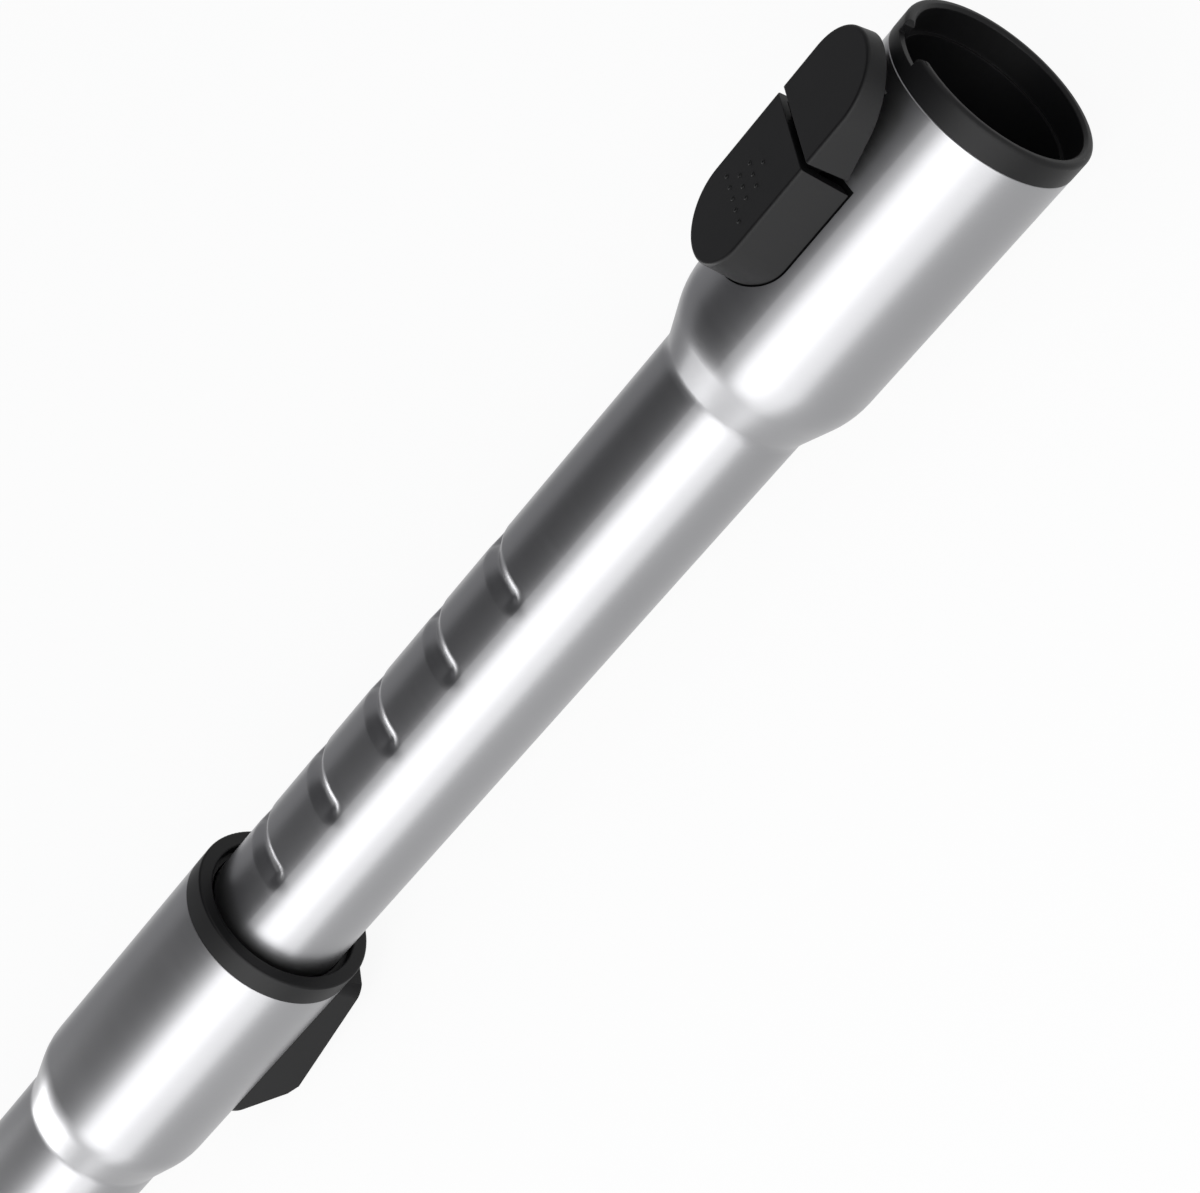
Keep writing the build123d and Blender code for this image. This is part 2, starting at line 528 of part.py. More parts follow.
def latch_pin():
    half = POD_HALF_WIDTH - POD_WALL / 2 - RUN_GAP
    return across(BUTTON_PIVOT_X, BUTTON_PIVOT_HEIGHT, BUTTON_PIN_D / 2, (-half, half))


def latch_spring():
    return coil(HEAD_EDGE - BUTTON_SPRING_DEPTH, BUTTON_FLOOR_R + SEAT_GAP, POD_HEIGHT - POD_WALL - SEAT_GAP)


def end_guide():
    land = SPIGOT_R - WALL - RUN_GAP
    relief = land - END_RELIEF
    bore = INNER_R + SEAT_GAP
    seal_low = INNER_END + END_LAND
    seal_high = seal_low + END_SEAL_WIDTH
    groove = land - END_SEAL_GROOVE
    return turned(
        (INNER_END - END_GUIDE_LIP, INNER_R - WALL),
        (INNER_END - END_GUIDE_LIP, land),
        (seal_low, land),
        (seal_low, groove),
        (seal_high, groove),
        (seal_high, land),
        (seal_high + END_LAND / 2, land),
        (seal_high + END_LAND / 2, relief),
        (END_GUIDE_TOP - END_LAND, relief),
        (END_GUIDE_TOP - END_LAND, land),
        (END_GUIDE_TOP, land),
        (END_GUIDE_TOP, bore),
        (INNER_END - SEAT_GAP, bore),
        (INNER_END - SEAT_GAP, INNER_R - WALL),
    )


def end_seal():
    land = SPIGOT_R - WALL - RUN_GAP
    low = INNER_END + END_LAND + SEAT_GAP
    return bush(low, low + END_SEAL_WIDTH - 2 * SEAT_GAP, land, land - END_SEAL_GROOVE + SEAT_GAP)


PIECES = (
    outer_tube, guide_collar, dust_wiper, lower_guide, lock_ring, lock_spring,
    release_lever, lever_pin, lever_spring,
    inner_tube, socket_liner, latch_cover, latch_button, latch_pin, latch_spring,
    end_guide, end_seal,
)

os.makedirs("parts", exist_ok=True)
for piece in PIECES:
    export_step(piece(), f"parts/{piece.__name__}.step")
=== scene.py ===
# %% [markdown]
# # A telescopic vacuum cleaner tube
# The object is a steel tube in two lengths that slide into each other, with a moulded collar and lever
# on the lower one and a moulded socket and latch on the upper one. The CAD frame already holds every
# piece in its place, so this lesson only gives the pieces the finish that the real ones have: turned
# and pressed steel, moulded black plastic, and the studio that shows them.

# %% Load the frame
import json
import math

import bmesh
import bpy
from mathutils import Matrix, Vector


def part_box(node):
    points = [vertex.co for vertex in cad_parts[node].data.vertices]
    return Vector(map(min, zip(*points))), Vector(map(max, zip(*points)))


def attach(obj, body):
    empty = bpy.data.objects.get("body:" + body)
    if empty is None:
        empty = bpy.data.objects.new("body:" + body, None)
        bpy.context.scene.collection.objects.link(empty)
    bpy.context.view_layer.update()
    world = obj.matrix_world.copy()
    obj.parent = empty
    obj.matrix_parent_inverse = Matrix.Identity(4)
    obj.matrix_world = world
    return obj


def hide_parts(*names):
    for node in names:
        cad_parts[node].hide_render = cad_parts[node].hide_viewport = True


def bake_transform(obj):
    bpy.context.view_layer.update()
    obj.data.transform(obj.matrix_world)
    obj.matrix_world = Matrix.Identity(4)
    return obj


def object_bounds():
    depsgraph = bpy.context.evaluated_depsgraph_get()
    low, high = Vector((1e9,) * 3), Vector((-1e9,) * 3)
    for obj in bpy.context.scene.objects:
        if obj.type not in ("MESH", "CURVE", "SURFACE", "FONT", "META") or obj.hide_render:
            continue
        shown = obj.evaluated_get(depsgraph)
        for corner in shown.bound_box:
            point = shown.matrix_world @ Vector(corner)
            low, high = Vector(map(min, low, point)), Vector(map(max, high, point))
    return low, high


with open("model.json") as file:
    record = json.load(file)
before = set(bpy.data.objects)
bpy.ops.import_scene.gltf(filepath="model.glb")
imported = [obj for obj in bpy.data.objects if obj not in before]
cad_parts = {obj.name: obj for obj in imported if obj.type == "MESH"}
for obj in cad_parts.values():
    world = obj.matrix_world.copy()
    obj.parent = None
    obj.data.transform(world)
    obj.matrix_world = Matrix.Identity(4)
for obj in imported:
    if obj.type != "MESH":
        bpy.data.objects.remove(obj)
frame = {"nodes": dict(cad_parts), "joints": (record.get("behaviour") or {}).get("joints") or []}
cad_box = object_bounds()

MM = 0.001
nodes = frame["nodes"]
joints = {joint["name"]: joint for joint in frame["joints"]}

# %% [markdown]
# ## The tube's own directions
# Pieces are drawn in millimetres, with the axis along X and the latch along Z, and one matrix lays them
# down where the frame has them. The direction of the latch could be typed in, but the lock slides
# straight towards it, so its joint gives it, and the drawing follows if the tube is ever laid otherwise.

# %% Directions and edges taken from the frame
AXIS = Vector((1, 0, 0))
LATCH = Vector(joints["lock_slide"]["axis"]).normalized()
ACROSS = LATCH.cross(AXIS)
LAY_DOWN = Matrix((AXIS, ACROSS, LATCH)).transposed().to_4x4() @ Matrix.Scale(MM, 4)

OUTER_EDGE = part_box("outer_tube")[1][0] / MM
OUTER_HEAD_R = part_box("outer_tube")[1][2] / MM
HEAD_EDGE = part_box("inner_tube")[1][0] / MM
INNER_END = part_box("inner_tube")[0][0] / MM
FLOOR = cad_box[0][2]
print("edges at", round(OUTER_EDGE, 2), round(HEAD_EDGE, 2), "mm, latch leans", LATCH[:])

# %% [markdown]
# ## Camera
# The photograph looks down the tube from above its socket, close enough that the far end is visibly
# smaller. A camera could be placed by eye, but the outlines of the two steel heads fix it: its place in
# millimetres from the socket's steel edge, its three turns and its focal length were worked out from them.

# %% Camera at the photograph's viewing angle
CAMERA_AHEAD = 233.03        # past the socket's steel edge, along the tube
CAMERA_DISTANCE = 555.21     # from the axis
CAMERA_FROM_LATCH = 55.0     # degrees round the tube from the latch
CAMERA_PAN = -0.579          # radians, as the next two
CAMERA_TILT = -0.010
CAMERA_ROLL = 0.721
CAMERA_LENS = 101.9

round_the_tube = Matrix.Rotation(math.radians(CAMERA_FROM_LATCH), 3, "X")
to_camera = round_the_tube @ LATCH
sideways = to_camera.cross(AXIS)
inward = -math.cos(CAMERA_PAN) * math.cos(CAMERA_TILT)
looking = (math.sin(CAMERA_PAN) * AXIS + math.sin(CAMERA_TILT) * sideways + inward * to_camera).normalized()
right = looking.cross(AXIS).normalized()
upward = right.cross(looking)
image_right = math.cos(CAMERA_ROLL) * right + math.sin(CAMERA_ROLL) * upward
image_up = math.cos(CAMERA_ROLL) * upward - math.sin(CAMERA_ROLL) * right

camera = bpy.data.objects.new("camera", bpy.data.cameras.new("camera"))
camera.data.lens = CAMERA_LENS
camera.data.clip_start = 0.01
camera.matrix_world = Matrix((image_right, image_up, -looking)).transposed().to_4x4()
camera.location = (HEAD_EDGE + CAMERA_AHEAD) * MM * AXIS + CAMERA_DISTANCE * MM * to_camera
bpy.context.scene.collection.objects.link(camera)
bpy.context.scene.camera = camera
bpy.context.scene.view_settings.view_transform = "Standard"
print("camera at", [round(v, 3) for v in camera.location])

# %% [markdown]
# ## Nodes and colours
# Every material below is a node tree. One helper adds a node, sets its options and joins its inputs, so
# that a tree reads as a list of steps. Colours are written as sRGB hex, as a paint chart has them, and
# one function turns them into the linear values that the shader works in.

# %% Helpers for node trees
def linear(code):
    """sRGB hex colour as linear RGBA."""
    values = [int(code[i:i + 2], 16) / 255 for i in (1, 3, 5)]
    return tuple(v / 12.92 if v <= 0.04045 else ((v + 0.055) / 1.055) ** 2.4 for v in values) + (1.0,)


def add(tree, kind, inputs=(), **settings):
    """Adds a node; inputs pairs a socket's name or number with a value, a node or one of its outputs."""
    made = tree.nodes.new(kind)
    for name, value in settings.items():
        setattr(made, name, value)
    for socket, value in dict(inputs).items():
        if isinstance(value, bpy.types.Node):
            value = value.outputs[0]
        if isinstance(value, bpy.types.NodeSocket):
            tree.links.new(value, made.inputs[socket])
        else:
            made.inputs[socket].default_value = value
    return made


def start_material(name):
    """New material with an empty tree and an output."""
    material = bpy.data.materials.new(name)
    material.use_nodes = True
    material.node_tree.nodes.clear()
    return material, material.node_tree


# %% [markdown]
# ## Studio
# A product picture of bright steel is mostly a picture of its studio. Here a long soft lamp stands behind
# the camera and makes the white band along the tube. A bright card on the table in front of the tube
# lets that band fade slowly into the grey of the table, and two cards above and behind the tube make the
# dark band near the latch. A second lamp stands beyond the tube's far end, where only the slopes of the
# necks and of the dents mirror it. Only polished surfaces see the cards: the camera doesn't, and they
# cast no shadow.

# %% Floor, world, lamps and cards
TABLE_WHITE = 0.92   # share of the table that shows as plain white; the rest keeps the shadow


def seen_rays(tree):
    """Node that is 1 for what the camera sees, also in a mirror or through glass, and 0 for light."""
    path = add(tree, "ShaderNodeLightPath").outputs
    seen = add(tree, "ShaderNodeMath", {0: path["Is Camera Ray"], 1: path["Is Glossy Ray"]},
               operation="MAXIMUM")
    return add(tree, "ShaderNodeMath", {0: seen, 1: path["Is Transmission Ray"]}, operation="MAXIMUM")


floor_material, tree = start_material("white_table")
mostly = add(tree, "ShaderNodeMath", {0: seen_rays(tree), 1: TABLE_WHITE}, operation="MULTIPLY")
paper = add(tree, "ShaderNodeBsdfDiffuse", {"Color": linear("#f0f0f0")})
glow = add(tree, "ShaderNodeEmission", {"Color": (1, 1, 1, 1), "Strength": 1.0})
table = add(tree, "ShaderNodeMixShader", {0: mostly, 1: paper, 2: glow})
add(tree, "ShaderNodeOutputMaterial", {"Surface": table})


def sheet(name, corners, material):
    """Flat four-cornered piece of the studio."""
    mesh = bpy.data.meshes.new(name)
    mesh.from_pydata(corners, [], [(0, 1, 2, 3)])
    mesh.materials.append(material)
    made = bpy.data.objects.new(name, mesh)
    bpy.context.scene.collection.objects.link(made)
    return made


REACH = 6.0
CARD_LIFT = 0.002
table_corners = ((-REACH, -REACH), (REACH, -REACH), (REACH, REACH), (-REACH, REACH))
sheet("table", [(x, y, FLOOR) for x, y in table_corners], floor_material)

CARDS = (  # name, colour, strength, start and end along the tube, two edges as (across, up) places
    ("dark_card", "#5c5c5e", 1.0, (-0.28, 1.30), (-0.36, 0.60), (0.43, 0.55)),
    ("grey_card", "#b0b0b2", 1.0, (-0.28, 1.30), (0.43, 0.55), (0.70, 0.02)),
    ("bounce_card", "#ffffff", 2.7, (-0.60, 1.40), (-0.90, FLOOR + CARD_LIFT), (-0.075, FLOOR + CARD_LIFT)),
)
for name, tone, strength, (start, end), first_edge, second_edge in CARDS:
    card_material, tree = start_material(name)
    face = add(tree, "ShaderNodeEmission", {"Color": linear(tone), "Strength": strength})
    add(tree, "ShaderNodeOutputMaterial", {"Surface": face})
    corners = [(start, *first_edge), (end, *first_edge), (end, *second_edge), (start, *second_edge)]
    card = sheet(name, corners, card_material)
    card.visible_camera = False
    card.visible_shadow = False
    card.visible_diffuse = False

LAMPS = (  # name, two sides, watts, place, degrees turned about X and Y
    ("front_softbox", 2.8, 0.86, 23.0, (0.2, -1.0, 0.42), (66, 0)),
    ("far_softbox", 0.9, 1.4, 20.0, (-1.5, 0.45, 0.47), (0, -90)),
)
for name, length, width, watts, place, turned_by in LAMPS:
    lamp = bpy.data.objects.new(name, bpy.data.lights.new(name, "AREA"))
    lamp.data.shape = "RECTANGLE"
    lamp.data.size = length
    lamp.data.size_y = width
    lamp.data.energy = watts
    lamp.location = place
    lamp.rotation_euler = (math.radians(turned_by[0]), math.radians(turned_by[1]), 0)
    bpy.context.scene.collection.objects.link(lamp)

world = bpy.data.worlds.new("studio")
world.use_nodes = True
tree = world.node_tree
tree.nodes.clear()
fill = add(tree, "ShaderNodeBackground", {"Color": linear("#d8dade"), "Strength": 0.6})
white = add(tree, "ShaderNodeBackground", {"Color": (1, 1, 1, 1), "Strength": 1.0})
shown = add(tree, "ShaderNodeMixShader", {0: seen_rays(tree), 1: fill, 2: white})
add(tree, "ShaderNodeOutputWorld", {"Surface": shown})
bpy.context.scene.world = world
print("lamps:", [lamp_row[0] for lamp_row in LAMPS])

# %% [markdown]
# ## Brushed stainless steel
# The tubes are rolled from ferritic stainless sheet and polished on a belt while they turn, so that very
# fine scratches run round them. Along the tube the scratches blur what is reflected, and across it the
# bands stay crisp. A stretched noise does both: it is short along X and long the other ways. The real
# scratches are about a twentieth of a millimetre apart, too fine for the picture, so they are drawn at
# about a third of a millimetre.

# %% Material of both tubes
SCRATCH = 0.35 * MM
SCRATCH_LENGTH = 18 * MM
CLOUD = 40 * MM
brushed_steel, tree = start_material("brushed_stainless_steel")
place = add(tree, "ShaderNodeTexCoord")
stretch = add(tree, "ShaderNodeMapping", {"Vector": place.outputs["Object"],
              "Scale": (1 / SCRATCH, 1 / SCRATCH_LENGTH, 1 / SCRATCH_LENGTH)})
scratches = add(tree, "ShaderNodeTexNoise", {"Vector": stretch.outputs[0], "Scale": 1.0, "Detail": 3.0})
rough = add(tree, "ShaderNodeMapRange", {"Value": scratches.outputs["Fac"], "To Min": 0.30, "To Max": 0.37})
relief = add(tree, "ShaderNodeBump", {"Height": scratches.outputs["Fac"], "Strength": 0.04,
             "Distance": 0.1 * MM})
clouds = add(tree, "ShaderNodeTexNoise", {"Vector": place.outputs["Object"], "Scale": 1 / CLOUD,
             "Detail": 2.0})
tone = add(tree, "ShaderNodeMix", {0: clouds.outputs["Fac"], 6: linear("#949496"), 7: linear("#9b9b9d")},
           data_type="RGBA")
steel = add(tree, "ShaderNodeBsdfPrincipled", {"Base Color": tone.outputs[2], "Metallic": 1.0,
            "Roughness": rough.outputs[0], "Normal": relief.outputs[0]})
add(tree, "ShaderNodeOutputMaterial", {"Surface": steel.outputs[0]})
print("material", brushed_steel.name)

# %% [markdown]
# ## Moulded black ABS
# Collar, lever, socket liner, cover and button are injection moulded in black ABS. The mould is spark
# eroded, which leaves a fine satin grain that spreads the highlight and lifts the black to a dark grey.
# The grain is a tenth of a millimetre; it is drawn three times coarser so that it shows.

# %% Material of the moulded pieces
GRAIN = 0.3 * MM
FLOW = 12 * MM
black_abs, tree = start_material("black_abs_satin_moulded")
place = add(tree, "ShaderNodeTexCoord")
grain = add(tree, "ShaderNodeTexNoise", {"Vector": place.outputs["Object"], "Scale": 1 / GRAIN,
            "Detail": 2.0})
flow = add(tree, "ShaderNodeTexNoise", {"Vector": place.outputs["Object"], "Scale": 1 / FLOW,
           "Detail": 3.0})
rough = add(tree, "ShaderNodeMapRange", {"Value": flow.outputs["Fac"], "To Min": 0.42, "To Max": 0.52})
relief = add(tree, "ShaderNodeBump", {"Height": grain.outputs["Fac"], "Strength": 0.12,
             "Distance": 0.05 * MM})
tone = add(tree, "ShaderNodeMix", {0: flow.outputs["Fac"], 6: linear("#0a0a0b"), 7: linear("#0f0f10")},
           data_type="RGBA")
abs_shader = add(tree, "ShaderNodeBsdfPrincipled", {"Base Color": tone.outputs[2],
                 "Roughness": rough.outputs[0], "Specular IOR Level": 0.18, "Normal": relief.outputs[0]})
add(tree, "ShaderNodeOutputMaterial", {"Surface": abs_shader.outputs[0]})
print("material", black_abs.name)

# %% [markdown]
# ## The pieces inside
# The wiper and the seal are soft rubber, the two sliding guides are acetal, the springs and pins are
# bright drawn steel, and the lock is zinc plated. They show only in the gaps and when the tube is taken
# apart, so each gets a short tree of its own from the same recipe: a base, a grain and a gloss.

# %% Materials of the hidden pieces
def inner_material(name, dark, light, grain_mm, rough_from, rough_to, metallic):
    """Plain material with a grain of its own size, for a piece that is mostly hidden."""
    made, tree = start_material(name)
    place = add(tree, "ShaderNodeTexCoord")
    grain = add(tree, "ShaderNodeTexNoise", {"Vector": place.outputs["Object"], "Scale": 1 / (grain_mm * MM),
                "Detail": 3.0})
    tone = add(tree, "ShaderNodeMix", {0: grain.outputs["Fac"], 6: linear(dark), 7: linear(light)},
               data_type="RGBA")
    rough = add(tree, "ShaderNodeMapRange", {"Value": grain.outputs["Fac"], "To Min": rough_from,
                "To Max": rough_to})
    relief = add(tree, "ShaderNodeBump", {"Height": grain.outputs["Fac"], "Strength": 0.1,
                 "Distance": 0.05 * MM})
    shader = add(tree, "ShaderNodeBsdfPrincipled", {"Base Color": tone.outputs[2], "Metallic": metallic,
                 "Roughness": rough.outputs[0], "Normal": relief.outputs[0]})
    add(tree, "ShaderNodeOutputMaterial", {"Surface": shader.outputs[0]})
    return made


black_rubber = inner_material("black_rubber", "#161616", "#1d1d1d", 0.4, 0.65, 0.8, 0.0)
grey_acetal = inner_material("grey_acetal", "#5b5d60", "#66686b", 0.8, 0.32, 0.42, 0.0)
spring_steel = inner_material("bright_spring_steel", "#9a9a9c", "#b4b4b6", 0.5, 0.2, 0.32, 1.0)
zinc_plate = inner_material("zinc_plated_steel", "#a7adb3", "#bcc2c6", 1.5, 0.28, 0.42, 1.0)
print("materials", [m.name for m in (black_rubber, grey_acetal, spring_steel, zinc_plate)])

# %% [markdown]
# ## Turned outlines
# Both tubes are solids of revolution, so each is drawn as a half section and turned about X. The corners
# of a pressed tube are arcs. A Bevel modifier could round them, but the neck's two bends have their own
# radii, so the outline itself is rounded: each corner is a point with the radius of its bend.

# %% Outline and lathe
BEND_STEP = math.radians(5)


def rounded(corners):
    """Outline through (along, out, bend radius) corners, with each bend as an arc."""
    outline = []
    for i, (x, r, bend) in enumerate(corners):
        here = Vector((x, r))
        if bend == 0:
            outline.append(here)
            continue
        before = (Vector(corners[i - 1][:2]) - here).normalized()
        after = (Vector(corners[(i + 1) % len(corners)][:2]) - here).normalized()
        opening = before.angle(after)
        middle = here + (before + after).normalized() * (bend / math.sin(opening / 2))
        start = here + before * (bend / math.tan(opening / 2)) - middle
        swing = start.angle_signed(here + after * (bend / math.tan(opening / 2)) - middle)
        steps = max(2, math.ceil(abs(swing) / BEND_STEP))
        for k in range(steps + 1):
            outline.append(middle + Matrix.Rotation(-swing * k / steps, 2) @ start)
    return outline


def closed_mesh(name, points, faces):
    """Mesh with its faces turned outward."""
    mesh = bpy.data.meshes.new(name)
    mesh.from_pydata(points, [], faces)
    shape = bmesh.new()
    shape.from_mesh(mesh)
    bmesh.ops.recalc_face_normals(shape, faces=shape.faces)
    shape.to_mesh(mesh)
    shape.free()
    return mesh


def turned(outline, angles):
    """Closed mesh made by turning a closed outline about the axis; angle 0 is the latch side."""
    rings = [[(p.x, p.y * math.sin(a), p.y * math.cos(a)) for a in angles] for p in outline]
    points = [point for ring in rings for point in ring]
    n = len(angles)
    faces = []
    for i in range(len(outline)):
        k = (i + 1) % len(outline)
        faces += [(i * n + j, k * n + j, k * n + (j + 1) % n, i * n + (j + 1) % n) for j in range(n)]
    return closed_mesh("turned", points, faces)


def prism(outline, low, high):
    """Upright block over an outline in the X-Y plane."""
    n = len(outline)
    points = [(p.x, p.y, low) for p in outline] + [(p.x, p.y, high) for p in outline]
    faces = [tuple(range(n)), tuple(range(n, 2 * n))]
    faces += [(j, (j + 1) % n, n + (j + 1) % n, n + j) for j in range(n)]
    return closed_mesh("prism", points, faces)


# %% [markdown]
# ## Finishing a piece
# Each piece ends the same way: it is laid down in the frame, shaded smooth except at real edges, and told
# which body it moves with, and the CAD piece it stands in for is hidden. Cuts such as windows are Boolean
# modifiers, applied at once so that the piece is a plain mesh.

# %% Helpers that finish a piece
SHARP = math.radians(32)


def as_object(mesh, name):
    made = bpy.data.objects.new(name, mesh)
    bpy.context.scene.collection.objects.link(made)
    return made


def plain(made):
    """Applies the modifiers of an object and gives its mesh, removing the object."""
    ready = made.evaluated_get(bpy.context.evaluated_depsgraph_get())
    mesh = bpy.data.meshes.new_from_object(ready)
    bpy.data.objects.remove(made)
    return mesh


def carve(mesh, tool, operation="DIFFERENCE"):
    """Mesh with another one cut from it, or common to it."""
    made = as_object(mesh, "blank")
    cutter = as_object(tool, "cutter")
    step = made.modifiers.new("carve", "BOOLEAN")
    step.object = cutter
    step.operation = operation
    step.solver = "EXACT"
    result = plain(made)
    bpy.data.objects.remove(cutter)
    return result


def finish_piece(mesh, name, node, body, material):
    """Shades a laid-down mesh, sets the body it rides on, and hides the CAD piece it stands in for."""
    mesh.materials.clear()
    mesh.materials.append(material)
    for face in mesh.polygons:
        face.material_index = 0
    mesh.shade_smooth()
    mesh.set_sharp_from_angle(angle=SHARP)
    made = as_object(mesh, name)
    weights = made.modifiers.new("even_shading", "WEIGHTED_NORMAL")
    weights.keep_sharp = True
    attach(made, body)
    if node:
        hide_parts(node)
    print(name, "faces:", len(mesh.polygons))


# %% [markdown]
# ## Outer tube
# The lower length is 35 mm system tube, pressed out at its upper end to hold the moulded collar. Its neck
# is two bends: a wide one where it leaves the head and a tight one at the narrow tube. The cut edge of
# the head is broken by polishing, and that thin bevel is what shows as a bright ring below the collar.

# %% Outer tube
WALL = 0.6
SPIGOT_R = 17.5
OUTER_HEAD = 65.4
OUTER_NECK = 11.7
CROWN_BEND = 22.0
ROOT_BEND = 7.7
EDGE_BREAK = 0.2
COLUMNS = 192
AROUND = [2 * math.pi * k / COLUMNS for k in range(COLUMNS)]


def tube_outline(edge, end, head, neck, head_r, body_r):
    """Half section of a tube with a widened head."""
    crown = edge - head
    root = crown - neck
    return rounded([
        (end, body_r, 0), (root, body_r, ROOT_BEND), (crown, head_r, CROWN_BEND),
        (edge - EDGE_BREAK, head_r, 0), (edge, head_r - EDGE_BREAK, 0), (edge, head_r - WALL, 0),
        (crown, head_r - WALL, CROWN_BEND - WALL), (root, body_r - WALL, ROOT_BEND + WALL),
        (end, body_r - WALL, 0),
    ])


LEVER_GAP = 0.3
WINDOW_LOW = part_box("release_lever")[0][0] / MM - LEVER_GAP
WINDOW_HALF = 12.0
WINDOW_BEND = 3.0
CUT_FROM = 8.0   # cutters reach from this far off the axis, inside the bore, to well outside the tube
lever_window = prism(rounded([
    (WINDOW_LOW, -WINDOW_HALF, WINDOW_BEND), (WINDOW_LOW, WINDOW_HALF, WINDOW_BEND),
    (OUTER_EDGE + WALL, WINDOW_HALF, 0), (OUTER_EDGE + WALL, -WINDOW_HALF, 0)]), -2 * OUTER_HEAD_R, -CUT_FROM)
outer = turned(tube_outline(OUTER_EDGE, 0, OUTER_HEAD, OUTER_NECK, OUTER_HEAD_R, SPIGOT_R), AROUND)
outer = carve(outer, lever_window)
outer.transform(LAY_DOWN)
finish_piece(outer, "outer_tube_steel", "outer_tube", "outer", brushed_steel)

# %% [markdown]
# ## Inner tube and its dents
# The upper length slides in the lower one. A row of cross dents is pressed into the latch side, and the
# lock drops into one of them. Each dent is the print of a wedge with a round nose, bent round the tube. It
# could be modelled dent by dent, but the row follows a rule, so Geometry Nodes press it: for each point
# the tree finds the nearest dent along the row and the angle round the tube, and moves the point in as
# far as the wedge would. A small smooth blend at the brim is the roll that pressed sheet always has.

# %% Dent row as a node tree
dents = bpy.data.node_groups.new("press_dents", "GeometryNodeTree")
for name, kind in (("Geometry", "NodeSocketGeometry"), ("First Dent", "NodeSocketFloat"),
                   ("Pitch", "NodeSocketFloat"), ("Count", "NodeSocketInt"), ("Half Angle", "NodeSocketFloat"),
                   ("Tube Radius", "NodeSocketFloat"), ("Depth", "NodeSocketFloat"),
                   ("Wall Slope", "NodeSocketFloat"), ("Nose", "NodeSocketFloat"), ("Brim", "NodeSocketFloat"),
                   ("Material", "NodeSocketMaterial")):
    dents.interface.new_socket(name, in_out="INPUT", socket_type=kind)
dents.interface.new_socket("Geometry", in_out="OUTPUT", socket_type="NodeSocketGeometry")

given = add(dents, "NodeGroupInput").outputs
spot = add(dents, "ShaderNodeSeparateXYZ", {0: add(dents, "GeometryNodeInputPosition")}).outputs
along = add(dents, "ShaderNodeMath", {0: given["First Dent"], 1: spot["X"]}, operation="SUBTRACT")
steps = add(dents, "ShaderNodeMath", {0: along, 1: given["Pitch"]}, operation="DIVIDE")
steps = add(dents, "ShaderNodeMath", {0: steps}, operation="ROUND")
last = add(dents, "ShaderNodeMath", {0: given["Count"], 1: 1.0}, operation="SUBTRACT")
steps = add(dents, "ShaderNodeClamp", {"Value": steps, "Min": 0.0, "Max": last})
nearest = add(dents, "ShaderNodeMath", {0: steps, 1: given["Pitch"]}, operation="MULTIPLY")
away = add(dents, "ShaderNodeMath", {0: along, 1: nearest}, operation="SUBTRACT")
turn = add(dents, "ShaderNodeMath", {0: spot["Y"], 1: spot["Z"]}, operation="ARCTAN2")
turn = add(dents, "ShaderNodeMath", {0: turn}, operation="ABSOLUTE")
past_end = add(dents, "ShaderNodeMath", {0: turn, 1: given["Half Angle"]}, operation="SUBTRACT")
past_end = add(dents, "ShaderNodeClamp", {"Value": past_end, "Min": 0.0, "Max": math.pi / 2})
aside = add(dents, "ShaderNodeMath", {0: past_end}, operation="SINE")
aside = add(dents, "ShaderNodeMath", {0: aside, 1: given["Tube Radius"]}, operation="MULTIPLY")
square = add(dents, "ShaderNodeMath", {0: away, 1: away}, operation="MULTIPLY")
square = add(dents, "ShaderNodeMath", {0: aside, 1: aside, 2: square}, operation="MULTIPLY_ADD")
square = add(dents, "ShaderNodeMath", {0: given["Nose"], 1: given["Nose"], 2: square},
             operation="MULTIPLY_ADD")
flank = add(dents, "ShaderNodeMath", {0: square}, operation="SQRT")
flank = add(dents, "ShaderNodeMath", {0: flank, 1: given["Nose"]}, operation="SUBTRACT")
bottom = add(dents, "ShaderNodeMath", {0: given["Tube Radius"], 1: given["Depth"]}, operation="SUBTRACT")
pressed = add(dents, "ShaderNodeMath", {0: flank, 1: given["Wall Slope"], 2: bottom},
              operation="MULTIPLY_ADD")
rolled = add(dents, "ShaderNodeMath", {0: given["Tube Radius"], 1: pressed, 2: given["Brim"]},
             operation="SMOOTH_MIN")
sink = add(dents, "ShaderNodeMath", {0: rolled, 1: given["Tube Radius"]}, operation="SUBTRACT")
outward = add(dents, "ShaderNodeCombineXYZ", {"Y": spot["Y"], "Z": spot["Z"]})
outward = add(dents, "ShaderNodeVectorMath", {0: outward}, operation="NORMALIZE")
shift = add(dents, "ShaderNodeVectorMath", {0: outward, "Scale": sink}, operation="SCALE")
moved = add(dents, "GeometryNodeSetPosition", {"Geometry": given["Geometry"], "Offset": shift})
real = add(dents, "GeometryNodeRealizeInstances", {"Geometry": moved})
coated = add(dents, "GeometryNodeSetMaterial", {"Geometry": real, "Material": given["Material"]})
add(dents, "NodeGroupOutput", {"Geometry": coated})
print("dent tree nodes:", len(dents.nodes))

# %% [markdown]
# The tree only moves points, so the tube under it needs points where the dents are: rings about half a
# millimetre apart at each dent, and columns closer together on the latch side than behind it.

# %% Inner tube
INNER_HEAD_R = 20.45
INNER_R = 16.0
INNER_HEAD = 62.5
INNER_NECK = 11.8
FIRST_DENT = HEAD_EDGE - 134.5
DENT_PITCH = 22.7
DENT_COUNT = 14
DENT_DEPTH = 1.35
DENT_SLOPE = 0.52   # rise of the wall for each millimetre along the tube
DENT_NOSE = 0.4     # how blunt the wedge is
DENT_BRIM = 0.8     # how far the roll at the brim reaches
DENT_HALF_ANGLE = math.radians(30)
RING_STEP = 0.45
RINGS_EACH_SIDE = 8
RING_MARGIN = 0.1
DENT_SECTOR = math.radians(42)   # each side of the latch
SECTOR_COLUMNS = 60


